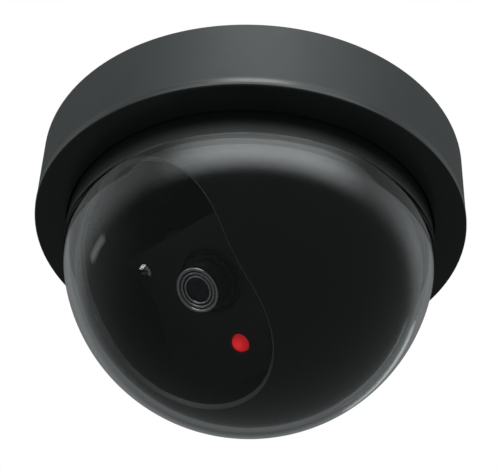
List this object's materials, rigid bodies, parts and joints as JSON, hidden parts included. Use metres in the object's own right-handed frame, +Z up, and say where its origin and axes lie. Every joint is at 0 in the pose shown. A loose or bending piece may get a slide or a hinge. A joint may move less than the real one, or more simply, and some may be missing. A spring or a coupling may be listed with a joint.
{
  "type": "dome cctv camera",
  "caption": "Ceiling dome camera: shallow round black housing, clear half-ball dome, slotted black inner ball, and a small fixed-lens camera with a red lamp on a pan and tilt gimbal.",
  "frame": {"origin": "centre of the mounting face that lies against the ceiling", "axes": "+Z up into the ceiling, the dome hangs along -Z, the lens looks towards -Y at rest and +X is to the lens's left when seen from in front"},
  "size_m": [0.1186, 0.1186, 0.0762],
  "materials": {
    "case_plastic": "fine moulded grain, satin black",
    "inner_plastic": "plain black moulding",
    "bezel_plastic": "smooth satin black",
    "faceplate_plastic": "fine grain, matt black",
    "liner_plastic": "polished black",
    "clear_dome": "clear polycarbonate, polished",
    "rubber": "soft black rubber",
    "zinc_steel": "bright zinc plate",
    "nickel_screw": "bright nickel plate",
    "black_steel": "black electrophoretic coat",
    "brass": "turned brass",
    "circuit_board": "green solder mask",
    "terminal_green": "moulded green",
    "connector_white": "natural nylon",
    "capacitor_can": "bare aluminium can",
    "ferrite": "dark ferrite",
    "chip_black": "moulded epoxy",
    "sensor": "cover glass over silicon",
    "filter_glass": "pink infrared cut coating",
    "lens_black": "matt black moulding",
    "lens_metal": "black anodised",
    "lens_glass": "coated glass",
    "led_red": "clear red epoxy",
    "nylon": "natural nylon"
  },
  "bodies": {
    "base": {"mounting_plate": "case_plastic", "grip_pads": "rubber", "cable_grommet": "rubber", "gimbal_seat": "inner_plastic", "seat_screws": "zinc_steel", "board_standoffs": "brass", "power_board": "circuit_board", "power_board_screws": "zinc_steel", "power_terminal": "terminal_green", "video_connector": "connector_white", "filter_capacitors": "capacitor_can", "power_inductor": "ferrite"},
    "cover": {"housing_cover": "case_plastic", "dome_bezel": "bezel_plastic", "dome_gasket": "rubber", "dome": "clear_dome", "clamp_ring": "inner_plastic", "clamp_ring_screws": "zinc_steel"},
    "pan_stage": {"pan_ring": "inner_plastic", "pan_retainer": "inner_plastic", "retainer_screws": "zinc_steel", "liner": "liner_plastic", "liner_screws": "zinc_steel", "yoke_left": "black_steel", "yoke_right": "black_steel", "yoke_screws": "zinc_steel"},
    "camera_module": {"tilt_cradle": "black_steel", "faceplate": "faceplate_plastic", "faceplate_screws": "nickel_screw", "camera_board": "circuit_board", "camera_board_screws": "zinc_steel", "camera_connector": "connector_white", "signal_processor": "chip_black", "image_sensor": "sensor", "ir_filter": "filter_glass", "lens_holder": "lens_black", "lens_lock_ring": "lens_black", "status_led": "led_red", "led_holder": "bezel_plastic", "pivot_washers": "nylon", "pivot_screw": "nickel_screw", "tilt_lock_screw": "nickel_screw"},
    "lens": {"lens_barrel": "lens_metal", "lens_front_ring": "lens_metal", "lens_front_element": "lens_glass", "lens_rear_element": "lens_glass"}
  },
  "joints": [
    {"name": "cover_drop", "type": "slide", "parent": "base", "child": "cover", "axis": [0, 0, -1], "range_m": [0, 0.09]},
    {"name": "pan", "type": "hinge", "parent": "base", "child": "pan_stage", "pos_m": [0, 0, -0.0164], "axis": [0, 0, 1], "range_deg": [-175, 175]},
    {"name": "tilt", "type": "hinge", "parent": "pan_stage", "child": "camera_module", "pos_m": [0, 0, -0.0258], "axis": [1, 0, 0], "range_deg": [-40, 28]},
    {"name": "lens_focus", "type": "hinge", "parent": "camera_module", "child": "lens", "pos_m": [0, 0, -0.0258], "axis": [0, -0.6211, -0.7837], "range_deg": [-180, 180]}
  ]
}
